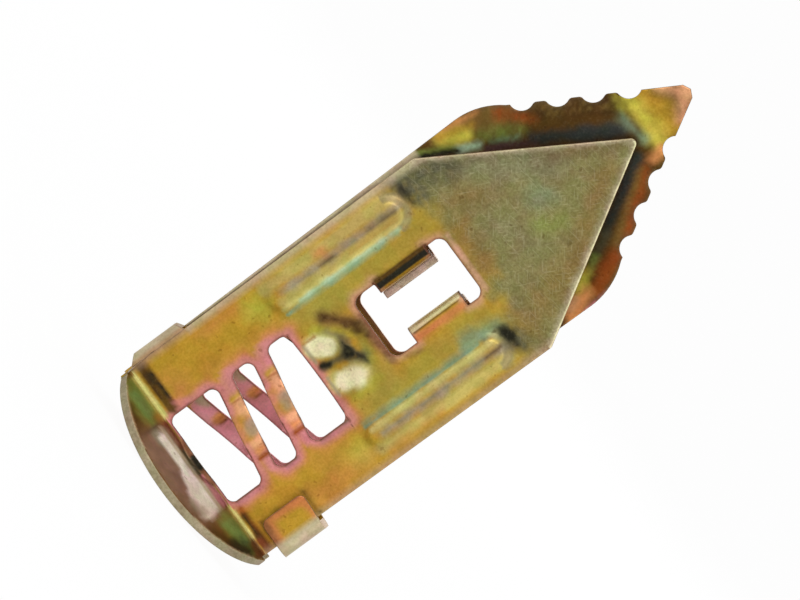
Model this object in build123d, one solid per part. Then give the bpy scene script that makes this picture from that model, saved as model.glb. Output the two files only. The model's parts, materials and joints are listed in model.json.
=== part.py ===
"""Hammer-in drywall anchor, stamped and folded from one steel sheet.

The anchor stands on its head with its point up. The screw's axis is +Z, and the origin
lies on that axis at the level of the lug rims. The short leg faces -Y and the long,
saw-edged leg faces +Y. The fold that joins the legs is on the -X side, and the tab that
locks them together is on the +X side. Heights in the names below are above the seat, the
level where a leg leaves its head lug and where the board's face comes.
"""
from build123d import *
import os
from math import atan, cos, degrees, radians, sin, tan

# Driving dimensions, in millimetres and degrees
sheet = 0.5                      # thickness of the steel
leg_gap = 3.4                    # clear space between the two legs
bend_inside = 0.3                # inside radius of the sharp bends

lug_radius = 7.7                 # rim of the round head, from the axis
lug_lean = 19.0                  # how far a lug leans back from square
lug_shift = 0.2                  # the head stands this far towards the tab's side

front_half_width = 7.17          # half the short leg's width at the head
front_shoulder_half_width = 7.32
front_shoulder = 22.2            # where it starts to taper
front_point = 34.35              # where its tapered edges meet
front_bend = 20.8                # where it starts to lean towards the other leg
front_point_gap = 0.12           # left between its point and the other leg
front_point_radius = 0.35
shoulder_radius = 0.3

back_half_width = 6.86           # half the long leg's width at the head
back_shoulder_half_width = 7.24
back_shift = -0.45               # its outline stands nearer to the fold than the windows do
back_turn = 0.15                 # and is turned a little in its own plane
back_shoulder = 25.5             # where it starts to taper
back_bend = 26.1                 # where it starts to lean inward
back_lean = 11.0
back_straight = 34.6             # where its point runs parallel to the axis again
back_point = 38.72               # its end
back_point_half_width = 0.5      # the blunted end of the arrow head
back_point_chamfer = 0.25
saw_start = 28.75                # the saw edge: height and half-width at its lower end
saw_start_half_width = 6.08
saw_end = 36.34                  # and at its upper end, below the arrow head
saw_end_half_width = 1.72
saw_notches = 4
saw_first_notch = 0.88           # up from the saw's lower end
saw_pitch = 1.97
saw_notch_radius = 0.85
saw_notch_depth = 0.47
saw_corner_radius = 0.3
gentle_bend_radius = 5.0         # of the leaning stretches of both legs

passage_radius = 2.3             # the round way that the screw runs through
window_left = -3.2               # the slotted window over the passage
window_right = 3.4
back_window_left = -3.5
front_window_bottom = 0.2
back_window_bottom = -0.28
window_top = 9.3
band_width = 1.2                 # bands left across the window, which the screw's thread bites
front_first_band = 3.85          # height of the first band
back_first_band = 2.68
band_pitch = 2.75
bands = 2
front_band_slope = -0.18         # rise of a band for each millimetre across
back_band_slope = 0.24
slot_corner_radius = 0.5
front_strip_bottom = -0.45       # lower edge of the bulged strip where leg and lug meet
back_strip_bottom = -0.75
crease_radius = 0.45             # where a band rises from the leg

dome_offset = 0.25               # the half bowl at the window's upper edge
dome_reach = 3.3                 # to the outer end of its blend
dome_depth = 1.1
dome_blend_radius = 1.5

front_flap_window_bottom = 13.85 # the I-shaped window and its two turned-in flaps
back_flap_window_bottom = 14.0
flap_window_top = 20.8
flap_window_left = -2.42
flap_window_right = 2.1
flap_bottom = 15.6
flap_top = 19.55
front_flap_faces = (-1.7, 1.0)   # where the flaps' facing sides stand
back_flap_faces = (-1.2, 1.3)
flap_depth = 1.9                 # from the leg's outer face to a flap's cut edge
flap_corner_radius = 0.6

rib_bottom = 9.25                # two long ribs pressed out of each leg
rib_top = 20.2
rib_inner = 4.05                 # from the axis
rib_outer = 6.6
rib_height = 0.38
rib_slope = 55.0

fold_reach = 7.85                # outer face of the fold that joins the legs
fold_bottom = 0.85
fold_top = 3.95
fold_ramp_bottom = 0.2           # where the fold's lower edge runs into the leg's edge
fold_ramp_top = 4.35

tab_reach = 8.1                  # outer face of the locking tab's wrap
tab_bottom = 1.0
tab_top = 4.25
tab_outer_top = 4.1              # where its upper edge has dropped to at the wrap
tab_end = 5.4                    # its cut end, over the short leg's face
tab_corner_radius = 0.5
tab_clearance = 0.05             # between the tab and the short leg's face

# Derived places
face = leg_gap / 2 + sheet                       # outer face of a leg, from the middle plane
middle = face - sheet / 2                        # middle of its sheet
bend_radius = bend_inside + sheet / 2            # along the middle of the sheet
lean = tan(radians(lug_lean))
seat = (lug_radius - face) * lean + sheet / cos(radians(lug_lean))
far = 4 * lug_radius                             # past every edge, for cutting blocks
spare = 2 * sheet                                # a little past an edge


def prism(sketch, near, away):
    """Extrude an X-Z sketch, drawn with heights above the seat, from depth near to away."""
    return extrude(Plane((0, near, seat), x_dir=(1, 0, 0), z_dir=(0, -1, 0)) * sketch, near - away)


def upright(sketch, bottom, top):
    """Extrude an X-Y sketch between two heights above the seat."""
    return extrude(Pos(0, 0, seat + bottom) * sketch, top - bottom)


def bent_strip(points, radii):
    """The sheet along a line of (depth, height) points, wider than any leg."""
    line = FilletPolyline(*points, radius=radii)
    return extrude(Plane.YZ * trace(line, sheet), amount=lug_radius + spare, both=True)


def leg_line(upper_points):
    """Middle line of a leg that faces -Y: the leaning lug, the root bend, then the leg."""
    lug_end = -(lug_radius + spare)
    drop = sheet / 2 / cos(radians(lug_lean))
    lug_end_height = seat + (lug_end + face) * lean - drop
    root_height = seat + (face - middle) * lean - drop
    raised = [(depth, seat + height) for depth, height in upper_points]
    return [(lug_end, lug_end_height), (-middle, root_height)] + raised


def front_outline():
    """Outline of the short leg with its plain point."""
    corners = [(-front_half_width, -face), (-front_shoulder_half_width, front_shoulder),
               (0, front_point), (front_shoulder_half_width, front_shoulder),
               (front_half_width, -face)]
    shape = make_face(Polyline(*corners, close=True))
    shoulders = shape.vertices().group_by(Axis.Y)[1]
    shape = fillet(shoulders, shoulder_radius)
    return fillet(shape.vertices().sort_by(Axis.Y)[-1], front_point_radius)


def back_outline():
    """Outline of the long leg: curved shoulders, a saw edge on both sides and an arrow head."""
    side = Polyline((0, -face), (back_half_width, -face), (back_shoulder_half_width, back_shoulder))
    shoulder = TangentArc((back_shoulder_half_width, back_shoulder),
                          (saw_start_half_width, saw_start), tangent=side @ 1 - (back_half_width, -face))
    upper = Polyline((saw_start_half_width, saw_start), (saw_end_half_width, saw_end),
                     (back_point_half_width, back_point - back_point_chamfer), (0, back_point))
    shape = make_face(side + shoulder + upper + Line((0, back_point), (0, -face)))
    start = Vector(saw_start_half_width, saw_start)
    run = Vector(saw_end_half_width, saw_end) - start
    outward = Vector(run.Y, -run.X).normalized()
    for index in range(saw_notches):
        along = run * ((saw_first_notch + index * saw_pitch) / run.Y)
        centre = start + along + outward * (saw_notch_radius - saw_notch_depth)
        shape -= Pos(centre.X, centre.Y) * Circle(saw_notch_radius)
    teeth = [v for v in shape.vertices() if saw_start + spare / 2 < v.Y < saw_end - spare / 2]
    shape = fillet(teeth, saw_corner_radius)
    return Pos(back_shift, 0) * Rot(0, 0, back_turn) * (shape + mirror(shape, about=Plane.YZ))


def window_slots(left, bottom, first_band, slope):
    """The slots of the window, between its bands, with rounded corners."""
    bounds = []
    low, flat = bottom, 0
    for index in range(bands):
        centre = first_band + index * band_pitch
        bounds.append(((low, flat), (centre - band_width / 2, slope)))
        low, flat = centre + band_width / 2, slope
    bounds.append(((low, flat), (window_top, 0)))
    slots = Sketch()
    for (lower, lower_slope), (upper, upper_slope) in bounds:
        corners = [(left, lower + lower_slope * left),
                   (window_right, lower + lower_slope * window_right),
                   (window_right, upper + upper_slope * window_right),
                   (left, upper + upper_slope * left)]
        slot = make_face(Polyline(*corners, close=True))
        slots += fillet(slot.vertices(), slot_corner_radius)
    return slots


def bulged_section():
    """Plan of the sheet where it bulges outward round the passage."""
    half = (window_right - window_left) / 2
    section = Pos(0, -middle) * Rectangle(2 * half, sheet)
    ring = Circle(passage_radius + sheet) & Pos(0, -face) * Rectangle(2 * half, leg_gap, align=(
        Align.CENTER, Align.MAX))
    section += ring
    creases = section.vertices().filter_by(lambda v: abs(v.Y + face) < 1e-3 and abs(v.X) < passage_radius)
    section = fillet(creases, crease_radius)
    return section - Circle(passage_radius)


def flap(root, facing):
    """One flap of the I-shaped window: from its root in the leg, turned in at its facing side."""
    side = -1 if facing < 0 else 1
    across = facing + side * sheet / 2
    line = FilletPolyline((root + side * spare, -middle), (across, -middle),
                          (across, flap_depth - face), radius=bend_radius)
    return upright(trace(line, sheet), flap_bottom, flap_top)


def flap_window(faces, bottom):
    """The I-shaped window with the room that its flaps left, as an X-Z sketch."""
    width = flap_window_right - flap_window_left
    height = flap_window_top - bottom
    centre = Pos((flap_window_right + flap_window_left) / 2, (flap_window_top + bottom) / 2)
    bend = sheet / 2 + bend_radius
    flap_room = Pos(faces[0] - bend, flap_bottom) * Rectangle(
        faces[1] - faces[0] + 2 * bend, flap_top - flap_bottom, align=(Align.MIN, Align.MIN))
    return centre * RectangleRounded(width, height, flap_corner_radius) + flap_room


def rib(side):
    """Outer and inner forms of one rib, pressed outward from the leg."""
    width = rib_outer - rib_inner
    height = rib_top - rib_bottom
    place = (side * (rib_outer + rib_inner) / 2, (rib_top + rib_bottom) / 2)
    forms = []
    for depth, across in ((face, width), (face - sheet, width - sheet / 2)):
        base = Plane((place[0], -depth, seat + place[1]), x_dir=(1, 0, 0), z_dir=(0, -1, 0))
        slot = SlotOverall(height - (width - across), across, rotation=90)
        forms.append(extrude(base * slot, rib_height, taper=rib_slope))
    return forms


def dome():
    """The half bowl that is pressed inward above the window, and the flat half disc it replaces."""
    turn = 2 * atan(dome_depth / dome_reach)
    bowl_radius = dome_reach / sin(turn) - dome_blend_radius
    deepest = dome_depth - middle
    bowl = CenterArc((0, deepest - bowl_radius), bowl_radius, 90 - degrees(turn), degrees(turn))
    blend = CenterArc((dome_reach, dome_blend_radius - middle), dome_blend_radius, 270 - degrees(turn),
                      degrees(turn))
    centre = Pos(dome_offset, 0, seat + window_top)
    half_bowl = centre * revolve(trace(bowl + blend, sheet), Axis.Y, -180)
    disc = Cylinder(dome_reach, sheet, rotation=(90, 0, 0)) & Pos(0, 0, far / 2) * Box(far, far, far)
    return half_bowl, centre * Pos(0, -middle, 0) * disc


def make_leg(upper_points, radii, outline, flap_faces, flap_window_bottom):
    """A leg with its head lug, bowl, I-shaped window and ribs, facing -Y."""
    strip = bent_strip(leg_line(upper_points), radii)
    within_leg = prism(outline, -(face + bend_inside), lug_radius)
    below_leg = Pos(0, -(face + bend_inside)) * Rectangle(far, far, align=(Align.CENTER, Align.MAX))
    lug_plan = Pos(lug_shift, 0) * Circle(lug_radius) & below_leg
    leg = strip & (within_leg + extrude(lug_plan, seat + spare))

    half_bowl, disc = dome()
    leg = leg - disc + half_bowl
    leg -= prism(flap_window(flap_faces, flap_window_bottom), -far, 0)
    leg += flap(flap_window_left, flap_faces[0]) + flap(flap_window_right, flap_faces[1])
    for side in (-1, 1):
        raised, sunk = rib(side)
        leg = leg + raised - sunk
    return leg


def make_passage(leg, slots, last_band, strip_bottom):
    """Bulge a leg's sheet round the screw's axis and cut the slots of its window."""
    zone_top = (last_band + window_top) / 2
    half = (window_right - window_left) / 2 - slot_corner_radius
    zone = Rectangle(2 * half, far)
    leg -= upright(zone & Pos(0, -middle) * Rectangle(far, sheet), 0, zone_top)
    leg += upright(bulged_section() & zone, strip_bottom, zone_top)
    leg -= extrude(Circle(passage_radius), seat + zone_top)
    return leg - prism(slots, -(passage_radius + spare), 0)


def make_fold():
    """The spine that joins both legs on the -X side, like the back of a book."""
    start = -(front_half_width - bend_radius - sheet)
    spine = -(fold_reach - sheet / 2)
    line = FilletPolyline((start, -middle), (spine, -middle), (spine, middle), (start, middle),
                          radius=bend_radius)
    strip = upright(trace(line, sheet), fold_ramp_bottom, fold_ramp_top)
    outline = Polyline((start, fold_ramp_bottom), (-front_half_width, fold_ramp_bottom),
                       (-fold_reach, fold_bottom), (-fold_reach, fold_top),
                       (-front_half_width, fold_ramp_top), (start, fold_ramp_top), close=True)
    return strip & prism(make_face(outline), -far, far)


def make_tab():
    """The tab on the long leg that wraps over the short leg's face on the +X side."""
    start = front_half_width - bend_radius - sheet + back_shift
    wrap = tab_reach - sheet / 2
    over = -(face + tab_clearance + sheet / 2)
    line = FilletPolyline((start, middle), (wrap, middle), (wrap, over), (tab_end, over),
                          radius=bend_radius)
    strip = upright(trace(line, sheet), tab_bottom, tab_top)
    end = tab_reach + spare
    outline = make_face(Polyline((0, tab_bottom), (end, tab_bottom), (end, tab_outer_top),
                                 (tab_reach - sheet, tab_outer_top), (tab_end, tab_top),
                                 (0, tab_top), close=True))
    corner = Pos(tab_end, tab_bottom) * Rectangle(
        2 * (tab_reach - tab_end), tab_top - tab_bottom, align=(Align.MIN, Align.MIN))
    lap = strip & prism(outline & fillet(corner.vertices(), tab_corner_radius), -far, 0)
    return lap + (strip & prism(outline, 0, far))


def make_anchor():
    """Both legs, the fold and the tab, all one sheet."""
    back_inner = middle - (back_straight - back_bend) * tan(radians(back_lean))
    back_at_point = middle - (front_point - back_bend) * tan(radians(back_lean))
    front_depth = back_at_point - sheet - front_point_gap
    short_line = [(-middle, front_bend), (front_depth, front_point + spare)]
    long_line = [(-middle, back_bend), (-back_inner, back_straight), (-back_inner, back_point + spare)]

    last_band = (bands - 1) * band_pitch
    front = make_leg(short_line, [bend_radius, gentle_bend_radius], front_outline(),
                     front_flap_faces, front_flap_window_bottom)
    slots = window_slots(window_left, front_window_bottom, front_first_band, front_band_slope)
    front = make_passage(front, slots, front_first_band + last_band, front_strip_bottom)

    back = make_leg(long_line, [bend_radius, gentle_bend_radius, gentle_bend_radius],
                    back_outline(), back_flap_faces, back_flap_window_bottom)
    slots = window_slots(back_window_left, back_window_bottom, back_first_band, back_band_slope)
    back = make_passage(back, slots, back_first_band + last_band, back_strip_bottom)
    return front + mirror(back, about=Plane.XZ) + make_fold() + make_tab()


anchor = make_anchor()
os.makedirs("parts", exist_ok=True)
export_step(anchor, "parts/anchor_body.step")
print("solids", len(anchor.solids()), "volume", round(anchor.volume, 2), "box", anchor.bounding_box())
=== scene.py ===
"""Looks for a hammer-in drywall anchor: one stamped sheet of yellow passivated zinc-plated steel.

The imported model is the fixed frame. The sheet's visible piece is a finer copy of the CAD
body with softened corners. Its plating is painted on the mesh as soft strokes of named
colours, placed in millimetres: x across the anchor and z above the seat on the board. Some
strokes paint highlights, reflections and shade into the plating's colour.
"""
import json
import math

import bmesh
import bpy
import numpy as np
from bpy.props import FloatProperty, FloatVectorProperty, IntProperty, PointerProperty
from mathutils import Matrix, Vector, kdtree, noise
from mathutils.bvhtree import BVHTree


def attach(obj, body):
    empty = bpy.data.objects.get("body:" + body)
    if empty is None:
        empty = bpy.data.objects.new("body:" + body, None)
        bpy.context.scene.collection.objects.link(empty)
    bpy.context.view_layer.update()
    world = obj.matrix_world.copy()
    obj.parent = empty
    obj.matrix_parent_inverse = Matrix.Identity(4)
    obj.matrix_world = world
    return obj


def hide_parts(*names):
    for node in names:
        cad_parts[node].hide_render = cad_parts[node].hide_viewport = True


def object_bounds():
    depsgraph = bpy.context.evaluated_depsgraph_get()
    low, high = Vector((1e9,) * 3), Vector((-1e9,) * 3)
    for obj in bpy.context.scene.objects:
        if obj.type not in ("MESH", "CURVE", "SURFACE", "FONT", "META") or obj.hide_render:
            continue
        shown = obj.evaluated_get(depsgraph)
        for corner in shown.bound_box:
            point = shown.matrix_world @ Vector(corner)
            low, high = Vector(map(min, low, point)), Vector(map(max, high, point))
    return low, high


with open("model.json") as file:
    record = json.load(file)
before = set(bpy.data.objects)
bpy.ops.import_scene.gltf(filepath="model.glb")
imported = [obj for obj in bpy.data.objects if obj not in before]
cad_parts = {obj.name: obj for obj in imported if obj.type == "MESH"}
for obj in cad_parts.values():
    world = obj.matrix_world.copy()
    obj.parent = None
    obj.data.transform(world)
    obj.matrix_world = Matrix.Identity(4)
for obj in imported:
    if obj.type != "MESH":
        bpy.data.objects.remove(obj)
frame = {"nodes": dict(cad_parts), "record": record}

CAD_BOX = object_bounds()
MM = 0.001
SHEET_NODE = "anchor_body"
SMALL_STEP = 0.012 * MM        # points nearer than this are joined

bl_info = {
    "name": "Drywall Anchor",
    "version": (1, 0, 0),
    "blender": (4, 5, 0),
    "location": "3D View > Sidebar > Anchor",
    "description": "Builds the looks of a folded sheet-steel drywall anchor and a plain studio",
    "category": "Object",
}

# Where things lie on the anchor, in millimetres
THICKNESS = 0.5
LEG_FACE = 2.2                 # from the mid-plane to a leg's outer face
HALF_HEAD = 3.3                # half width of the head's middle panel
RIB_SIDES = (4.1, 6.55)        # the ribs' inner and outer edges
RIB_ENDS = (9.3, 20.2)
DOME_TOP = 10.6                # height of the middle of the dome's bright faces
WINDOW = (13.9, 20.9)          # bottom and top of the window
WINDOW_SIDES = (-2.5, 2.2)
SHOULDER = 22.2                # where the short leg starts to taper
SHORT_POINT = 34.3             # the short leg's point
SHORT_HALF = 7.2               # half width of the short leg


def seat_height():
    """Height of the point where the short leg leaves the head, in millimetres above the floor."""
    mount = next(m for m in frame["record"]["mounts"] if m["name"] == "board_seat")
    _, y, z = mount["pos_m"]
    _, across, up = mount["axis"]
    return z / MM + (abs(y) / MM - LEG_FACE) * abs(across) / up


SEAT = seat_height()


def linear(code):
    """A colour written as six hex digits, as linear red, green and blue."""
    parts = [int(code[i:i + 2], 16) / 255 for i in (0, 2, 4)]
    return tuple(p / 12.92 if p <= 0.04045 else ((p + 0.055) / 1.055) ** 2.4 for p in parts)


PALETTE = {name: np.array(linear(code)) for name, code in {
    "mustard": "bf952f", "amber": "bf8e3c", "ochre": "b08038", "orange": "d2854e",
    "peach": "e6ab7e", "straw": "bdae62", "rose": "d78a92", "magenta": "bd7a88", "salmon": "d6a28c",
    "olive": "a59c45", "lime": "bcb542", "lemon": "cfc67a", "cream": "fff9cc",
    "mint": "a9c6a4", "teal": "7f9f80", "moss": "8fb870", "fern": "8a9a48",
    "beige": "c6b897", "blush": "efa2ac", "apricot": "e39a5c", "canary": "d8cc50", "sand": "b39a7c", "stone": "a89c80", "pearl": "f0ebdd",
    "smoke": "8b8468", "slate": "5d5a44", "steel_olive": "878051", "steel_grey": "82805f",
    "bronze": "8a6c36", "rust": "a0521f", "brick": "8a4a2a", "umber": "5c4218", "rust_brown": "7c5238", "drab_brown": "6e5a3c", "blush_grey": "ead2c2",
    "coffee": "4a3316", "plum": "5a3f3e", "reflected_gap_blue": "3a403c", "near_black": "26241a", "russet": "84603c",
}.items()}


# ---------------------------------------------------------------- settings

class AnchorSheetSettings(bpy.types.PropertyGroup):
    """Sizes and finish of the dressed sheet."""
    corner_round: FloatProperty(
        name="Corner round", description="Width of the softened corner along every sheared edge",
        default=0.05 * MM, min=0.0, subtype="DISTANCE", unit="LENGTH", precision=5)
    grid_step: FloatProperty(
        name="Grid step", description="Spacing of the grid that the plating is painted on",
        default=0.25 * MM, min=0.1 * MM, subtype="DISTANCE", unit="LENGTH", precision=5)
    softening: IntProperty(
        name="Softening", description="Passes that round off the ribs, the dome and the bends",
        default=6, min=0)
    roughness: FloatProperty(
        name="Roughness", description="Roughness of the plated faces", default=0.48,
        min=0.0, max=1.0, subtype="FACTOR")
    metallic: FloatProperty(
        name="Metallic", description="How metallic the plating looks", default=0.9,
        min=0.0, max=1.0, subtype="FACTOR")


class AnchorStageSettings(bpy.types.PropertyGroup):
    """Camera, lights and backdrop."""
    view_width: FloatProperty(
        name="View width", description="Width that the camera takes in at the object",
        default=50.0 * MM, min=1 * MM, subtype="DISTANCE", unit="LENGTH", precision=5)
    view_side: FloatProperty(
        name="View side", description="How far the view's centre lies beside the screw's axis",
        default=-0.68 * MM, subtype="DISTANCE", unit="LENGTH", precision=5)
    view_height: FloatProperty(
        name="View height", description="Height of the view's centre", default=18.75 * MM,
        subtype="DISTANCE", unit="LENGTH", precision=5)
    azimuth: FloatProperty(
        name="Azimuth", description="Direction of the camera round the object",
        default=0.0, subtype="ANGLE")
    elevation: FloatProperty(
        name="Elevation", description="Height of the camera above the horizon",
        default=math.radians(3.1), subtype="ANGLE")
    roll: FloatProperty(
        name="Roll", description="How far the point leans to the right in the picture",
        default=math.radians(53.7), subtype="ANGLE")
    lens: FloatProperty(
        name="Lens", description="Focal length in millimetres", default=600.0, min=20.0)
    floor_size: FloatProperty(
        name="Floor size", description="Width of the square floor", default=12.0,
        subtype="DISTANCE", unit="LENGTH")
    floor_colour: FloatVectorProperty(
        name="Floor colour", description="Colour of the floor", default=(0.95, 0.95, 0.95),
        size=3, min=0.0, max=1.0, subtype="COLOR")
    floor_glow: FloatProperty(
        name="Floor glow", description="Share of plain white in what the camera sees of the floor",
        default=0.95, min=0.0, max=1.0, subtype="FACTOR")
    sky: FloatProperty(
        name="Sky", description="Strength of the world's even light", default=0.7, min=0.0)
    key_light: FloatProperty(
        name="Key light", description="Power of the large lamp beside the short leg",
        default=0.8, min=0.0, subtype="POWER", unit="POWER")


def settings():
    return bpy.context.scene.drywall_anchor_sheet, bpy.context.scene.drywall_anchor_stage


# ---------------------------------------------------------------- mesh

def merged_copy(node):
    """The CAD node's surface with its loose triangles joined and its flat faces whole."""
    bm = bmesh.new()
    bm.from_mesh(frame["nodes"][node].data)
    bmesh.ops.remove_doubles(bm, verts=bm.verts, dist=SMALL_STEP)
    bmesh.ops.dissolve_limit(
        bm, angle_limit=math.radians(0.5), verts=bm.verts, edges=bm.edges)
    return bm


def sheared_edges(bm):
    """The square corners of the sheet, where its faces meet its cut edges."""
    return [e for e in bm.edges if e.is_manifold and e.calc_face_angle(0) > math.radians(72)]


def inner_points(bm):
    """A point well inside each face: the middle of the largest triangle in it."""
    largest = {}
    for loops in bm.calc_loop_triangles():
        a, b, c = (loop.vert.co for loop in loops)
        size = (b - a).cross(c - a).length
        face = loops[0].face
        if face not in largest or size > largest[face][0]:
            largest[face] = (size, (a + b + c) / 3)
    return {face: middle for face, (_, middle) in largest.items()}


def mark_sheared_faces(bm):
    """Give the cut edges the second material: no parallel face lies one thickness behind them."""
    tree = BVHTree.FromBMesh(bm)
    for face, middle in inner_points(bm).items():
        inward = -face.normal
        _, behind, _, depth = tree.ray_cast(middle + inward * 0.01 * MM, inward)
        plated = behind is not None and depth < 1.35 * THICKNESS * MM and behind.dot(inward) > 0.7
        face.material_index = int(not plated)


def edge_tree(edges):
    """A search tree of points along some edges."""
    spots = []
    for e in edges:
        start, end = e.verts[0].co, e.verts[1].co
        parts = max(1, round((end - start).length / (0.1 * MM)))
        spots += [start.lerp(end, i / parts) for i in range(parts + 1)]
    tree = kdtree.KDTree(len(spots))
    for i, spot in enumerate(spots):
        tree.insert(spot, i)
    tree.balance()
    return tree


def round_corners(bm, corners, width):
    """Soften the sheared corners, and pull back the few points that a tight spot throws out."""
    surface, lines = BVHTree.FromBMesh(bm), edge_tree(corners)
    rounded = bmesh.ops.bevel(bm, geom=corners, offset=width, segments=2, profile=0.5,
                              affect="EDGES", material=-1, clamp_overlap=False)
    for vert in rounded["verts"]:
        nearest, _, _, gap = surface.find_nearest(vert.co)
        corner, _, reach = lines.find(vert.co)
        if gap > width:
            vert.co = nearest
        elif reach > 3 * width and gap > 0.002 * MM:
            vert.co = corner


def is_opening(edge):
    """Whether an edge belongs to a slot or the window, and not to the sheet's outline."""
    middle = (edge.verts[0].co + edge.verts[1].co) / 2 / MM
    return abs(middle.x) < 4 and abs(middle.y) < 2.5 and -1 < middle.z - SEAT < 21.5


def cut_into_slabs(bm, faces, axis, low, high, step):
    """Cut faces by a stack of evenly spaced planes, halving the stack each time."""
    count = round((high - low) / step)
    if count < 2 or not faces:
        return faces
    middle = low + step * (count // 2)
    square = Vector([float(i == axis) for i in range(3)])
    edges = {e for f in faces for e in f.edges}
    verts = {v for f in faces for v in f.verts}
    cut = bmesh.ops.bisect_plane(
        bm, geom=[*verts, *edges, *faces], dist=1e-6 * MM, plane_co=square * middle,
        plane_no=square)
    parts = [g for g in cut["geom"] if isinstance(g, bmesh.types.BMFace)]
    below = [f for f in parts if f.calc_center_bounds()[axis] < middle]
    above = [f for f in parts if f.calc_center_bounds()[axis] >= middle]
    return (cut_into_slabs(bm, below, axis, low, middle, step)
            + cut_into_slabs(bm, above, axis, middle, high, step))


def spans(face, axis):
    places = [v.co[axis] for v in face.verts]
    return max(places) - min(places)


def lay_grid(bm, step):
    """Cut the sheet into small cells, so that it can carry paint."""
    low, high = CAD_BOX
    faces = list(bm.faces)
    for _ in range(3):
        for axis in (0, 2):
            faces = cut_into_slabs(bm, faces, axis, low[axis], high[axis], step)
        missed = [f for f in faces if max(spans(f, 0), spans(f, 2)) > 1.2 * step]
        faces = bmesh.ops.triangulate(bm, faces=missed)["faces"]
    head = [f for f in bm.faces if abs(f.calc_center_bounds().y) > LEG_FACE * MM]
    cut_into_slabs(bm, head, 1, low.y, high.y, step)
    bmesh.ops.triangulate(bm, faces=bm.faces)


def soften_bends(bm, passes):
    """Round off the facets of the ribs, the dome and the bends, away from the cut edges."""
    bent = {v for e in bm.edges if e.is_manifold
            and math.radians(1.5) < e.calc_face_angle(0) < math.radians(72) for v in e.verts}
    ring = {w for v in bent for e in v.link_edges for w in e.verts}
    loose = [v for v in ring if all(f.material_index == 0 for f in v.link_faces)]
    for _ in range(passes):
        bmesh.ops.smooth_vert(
            bm, verts=loose, factor=0.5, use_axis_x=True, use_axis_y=True, use_axis_z=True)


# ---------------------------------------------------------------- painting

def smooth_step(low, high, value):
    share = np.clip((value - low) / (high - low), 0, 1)
    return share * share * (3 - 2 * share)


class Canvas:
    """The sheet's vertices as arrays: places in millimetres, and the colour of each."""

    def __init__(self, bm, openings, outline):
        self.place = np.array([v.co[:] for v in bm.verts]) / MM - (0, 0, SEAT)
        self.facing = np.array([v.normal[:] for v in bm.verts])
        self.flat = self.place[:, [0, 2]]
        self.colour = np.tile(PALETTE["mustard"], (len(self.place), 1))
        self.sheared = np.tile(PALETTE["sand"], (len(self.place), 1))
        self.scuff = np.zeros(len(self.place))
        self.opening = np.array([openings.find(v.co)[2] for v in bm.verts]) / MM
        self.outline = np.array([outline.find(v.co)[2] for v in bm.verts]) / MM
        self.wobble = np.array([noise.noise(v.co / (0.9 * MM)) for v in bm.verts])
        self.ripple = np.array([noise.noise(v.co / (0.35 * MM)) for v in bm.verts])
        self.find_surfaces()

    def find_surfaces(self):
        """Masks for the faces that the strokes are laid on."""
        x, y, z = self.place.T
        toward = self.facing[:, 1] < 0.15
        short = (y < -0.01) & (z < SHORT_POINT + 0.3)
        head = np.abs(y) > LEG_FACE + 0.02
        head &= z < 0.25
        tip_side = self.facing[:, 2] > 0
        self.front = (short & toward & ~head).astype(float)
        self.inner = (~short & toward & ~head).astype(float)
        self.back = (~short & ~toward & ~head).astype(float)
        self.lining = (short & ~toward & ~head).astype(float)
        self.head = (head & tip_side).astype(float)
        self.head_back = (head & ~tip_side).astype(float)

    def blend(self, cover, colour):
        self.colour += (PALETTE[colour] - self.colour) * np.clip(cover, 0, 1)[:, None]

    def reach(self, start, end, radius, soft):
        """How much a soft stroke from start to end covers each vertex."""
        start = np.array(start, float)
        run = np.array(end, float) - start
        offset = self.flat - start
        along = np.clip(offset @ run / max(run @ run, 1e-9), 0, 1)
        gap = np.linalg.norm(offset - along[:, None] * run, axis=1)
        gap += (self.wobble + 0.5 * self.ripple) * soft * 0.3
        return 1 - smooth_step(radius - soft / 2, radius + soft / 2, gap)

    def stroke(self, where, colour, start, end=None, radius=0.3, soft=0.3, strength=1.0, fleck=0.0):
        """Lay a colour along a line, with a soft border and, if wanted, broken into flecks."""
        cover = self.reach(start, end or start, radius, soft)
        cover *= 1 - fleck * smooth_step(-0.05, 0.25, self.ripple)
        self.blend(where * strength * cover, colour)

    def band(self, where, colour, distance, near, far, strength=1.0):
        """Lay a colour within a distance of some edge, fading from near to far."""
        cover = 1 - smooth_step(near, far, distance + 0.25 * far * self.wobble)
        self.blend(where * strength * cover, colour)


def paint_faces(canvas):
    """Broad colour of the plating on the two legs."""
    both = canvas.front + canvas.back
    for side in (-1, 1):
        canvas.stroke(both, "olive", (side * 3.6, 10.5), (side * 3.5, 19.5), 1.0, 1.8, 0.6)
        canvas.stroke(both, "lime", (side * 5.6, 8.7), None, 0.9, 1.6, 1.0)
        canvas.stroke(both, "olive", (side * 2.2, 12.2), (side * 3.0, 12.4), 1.2, 1.8, 0.5)
        canvas.stroke(both, "olive", (side * 5.5, 21.0), (side * 5.0, 22.0), 1.5, 2.5, 0.5)
    canvas.stroke(both, "orange", (6.2, 5.0), (6.2, 8.5), 0.8, 1.6, 0.45)
    canvas.stroke(both, "orange", (-6.4, 5.0), (-6.4, 7.5), 0.3, 1.2, 0.5)
    canvas.stroke(both, "amber", (4.4, 6.4), (4.2, 8.0), 0.9, 1.6, 0.6)
    canvas.stroke(both, "orange", (-4.4, 2.4), (-5.2, 1.6), 0.5, 1.2, 0.35)
    canvas.stroke(both, "amber", (-3.9, 4.0), (-3.9, 8.8), 0.5, 1.2, 0.6)


def paint_openings(canvas):
    """Pink and orange tints that the plating takes beside the slots and the window."""
    both = canvas.front + canvas.back + 0.7 * canvas.lining
    low = 1 - smooth_step(10.2, 11.2, canvas.place[:, 2])
    high = smooth_step(12.6, 13.6, canvas.place[:, 2])
    canvas.band(both * low, "orange", canvas.opening, 0.35, 1.2, 0.7)
    canvas.band(both * low, "rose", canvas.opening, 0.15, 0.75, 0.75)
    canvas.band(both * high, "salmon", canvas.opening, 0.1, 0.65, 0.65)


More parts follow.
